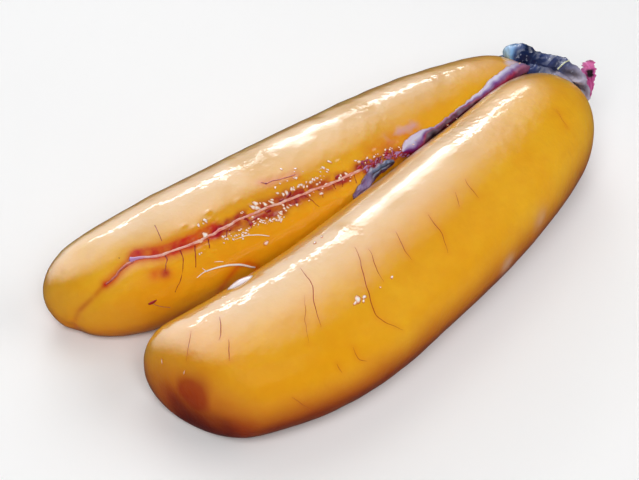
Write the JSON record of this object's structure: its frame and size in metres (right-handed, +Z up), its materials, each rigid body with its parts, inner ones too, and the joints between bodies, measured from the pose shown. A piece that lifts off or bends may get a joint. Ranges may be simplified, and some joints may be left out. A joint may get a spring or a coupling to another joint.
{
  "type": "mullet roe pair",
  "caption": "Pair of fresh mullet roe lobes, long rounded sacs lying side by side, joined at one end by a crumpled membrane, with a blood vessel along one of them.",
  "frame": {"origin": "middle of the pair's bounding box in plan, on the table that it rests on", "axes": "+X along the pair from its free ends to the joined end, +Y towards the slimmer lobe that carries the blood vessel, +Z up"},
  "size_m": [0.1729, 0.0938, 0.0321],
  "materials": {
    "roe": "wet golden orange roe in a thin clear skin",
    "vessel": "wet pinkish red blood vessel",
    "membrane_dark": "wet crumpled blue-grey membrane",
    "tissue_pink": "wet pink tissue",
    "tissue_lilac": "wet lilac-grey tissue",
    "tissue_slate": "wet slate and violet tissue",
    "tissue_pale": "wet pearly tissue"
  },
  "bodies": {
    "root": {"roe_lobe_front": "roe", "roe_lobe_back": "roe", "vein_trunk": "vessel", "membrane_end": "membrane_dark", "tissue_scrap": "tissue_pink", "mesentery_strip": "tissue_lilac", "membrane_flap": "tissue_slate", "pale_patch": "tissue_pale"}
  },
  "joints": []
}
